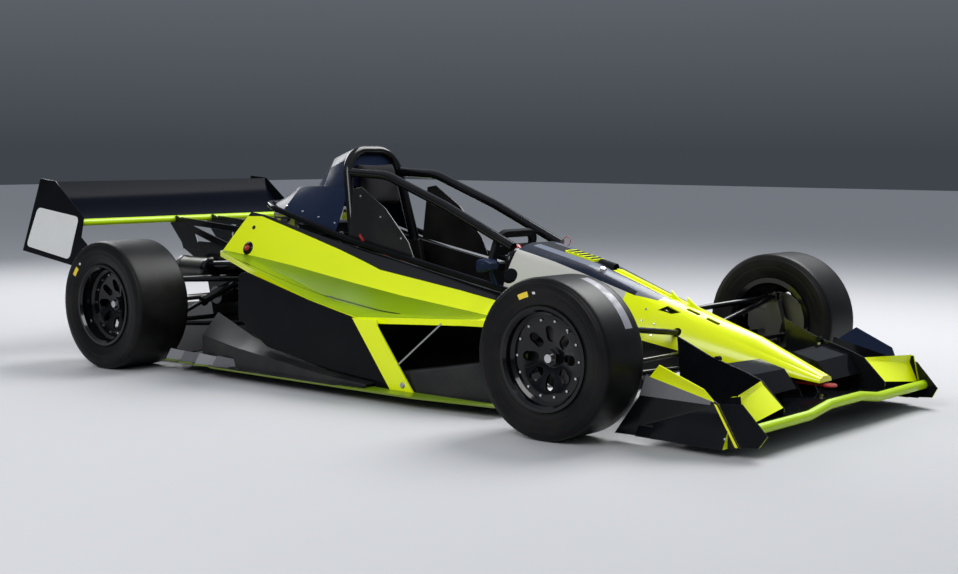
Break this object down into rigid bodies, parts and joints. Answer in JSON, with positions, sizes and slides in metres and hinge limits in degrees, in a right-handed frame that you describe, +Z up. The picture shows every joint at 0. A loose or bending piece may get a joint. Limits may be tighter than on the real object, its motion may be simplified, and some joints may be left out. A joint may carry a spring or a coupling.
{
  "type": "open wheel racing car",
  "caption": "Single-seat open wheel racing car with winged nose and tail, side pods, roll hoop, steered front wheels and turning rear wheels.",
  "frame": {"origin": "on the ground, at the middle of the car's length and width", "axes": "+X forward, +Y to the car's left, +Z up"},
  "size_m": [4.085, 1.717, 0.984],
  "materials": {
    "lime_paint": "gloss lime lacquer over moulded skin",
    "black_gloss": "gloss black lacquer",
    "silver_panel": "silver and dark panels in gloss lacquer",
    "carbon": "satin woven carbon laminate",
    "floor_board": "matt black floor board",
    "black_steel": "satin black painted steel tube",
    "cast_metal": "cast aluminium",
    "engine_metal": "cast and machined aluminium",
    "disc_steel": "turned brake steel",
    "tyre": "slick racing rubber with matt sidewalls",
    "wheel_black": "gloss black wheel lacquer",
    "padding": "black trim cloth over foam",
    "exhaust_metal": "heat-tinted steel",
    "red_paint": "red painted steel",
    "radiator_core": "black finned core"
  },
  "bodies": {
    "chassis": {"chassis_tub": "carbon", "nose_cone": "lime_paint", "front_cowl": "silver_panel", "body_sides": "lime_paint", "pod_panels": "black_gloss", "pod_legs": "lime_paint", "radiators": "radiator_core", "floor": "floor_board", "tunnels": "carbon", "diffuser": "floor_board", "roll_hoop": "black_steel", "side_bars": "black_steel", "cockpit_rim": "black_gloss", "engine_cover": "carbon", "headrest_fairing": "carbon", "head_panels": "carbon", "seat": "padding", "headrest_pad": "padding", "engine": "engine_metal", "final_drive": "cast_metal", "rear_plates": "black_steel", "exhaust": "exhaust_metal", "rear_wing": "black_gloss", "rear_wing_nose": "lime_paint", "rear_wing_plates": "black_gloss", "front_wing": "black_gloss", "front_wing_nose": "lime_paint", "front_flaps": "lime_paint", "front_wing_plates": "black_gloss", "front_wing_hangers": "black_steel", "front_suspension": "black_steel", "rear_uprights": "cast_metal", "rear_suspension": "black_steel", "rack_housing": "cast_metal", "mirrors": "black_gloss", "tow_eye": "red_paint"},
    "front_wheel_left": {"tyre_front_left": "tyre", "wheel_front_left": "wheel_black", "brake_disc_left": "disc_steel"},
    "rear_wheel_left": {"tyre_rear_left": "tyre", "wheel_rear_left": "wheel_black", "half_shaft_left": "disc_steel"},
    "steered_left": {"knuckle_left": "cast_metal"},
    "front_wheel_right": {"tyre_front_right": "tyre", "wheel_front_right": "wheel_black", "brake_disc_right": "disc_steel"},
    "rear_wheel_right": {"tyre_rear_right": "tyre", "wheel_rear_right": "wheel_black", "half_shaft_right": "disc_steel"},
    "steered_right": {"knuckle_right": "cast_metal"},
    "rack": {"steering_rack": "black_steel"},
    "steering": {"steering_wheel": "padding"}
  },
  "joints": [
    {"name": "steer_right", "type": "hinge", "parent": "chassis", "child": "steered_right", "pos_m": [1.312, -0.69, 0.275], "axis": [0, 0, 1], "range_deg": [-20, 20]},
    {"name": "steer_left", "type": "hinge", "parent": "chassis", "child": "steered_left", "pos_m": [1.312, 0.69, 0.275], "axis": [0, 0, 1], "range_deg": [-20, 20]},
    {"name": "rack_travel", "type": "slide", "parent": "chassis", "child": "rack", "axis": [0, 1, 0], "range_m": [-0.036, 0.036]},
    {"name": "steering_turn", "type": "hinge", "parent": "chassis", "child": "steering", "pos_m": [0.502, 0, 0.56], "axis": [-0.946, 0, 0.324], "range_deg": [-140, 140]},
    {"name": "front_wheel_spin_right", "type": "hinge", "parent": "steered_right", "child": "front_wheel_right", "pos_m": [1.312, -0.75, 0.275], "axis": [0, 1, 0], "continuous": true},
    {"name": "rear_wheel_spin_right", "type": "hinge", "parent": "chassis", "child": "rear_wheel_right", "pos_m": [-1.153, -0.708, 0.281], "axis": [0, 1, 0], "continuous": true},
    {"name": "front_wheel_spin_left", "type": "hinge", "parent": "steered_left", "child": "front_wheel_left", "pos_m": [1.312, 0.75, 0.275], "axis": [0, 1, 0], "continuous": true},
    {"name": "rear_wheel_spin_left", "type": "hinge", "parent": "chassis", "child": "rear_wheel_left", "pos_m": [-1.153, 0.708, 0.281], "axis": [0, 1, 0], "continuous": true}
  ],
  "couplings": [
    {"joint": "steer_left", "follows": "steer_right", "ratio": 1},
    {"joint": "rack_travel", "follows": "steer_right", "m_per_rad": 0.1},
    {"joint": "steering_turn", "follows": "steer_right", "ratio": 6.75}
  ]
}
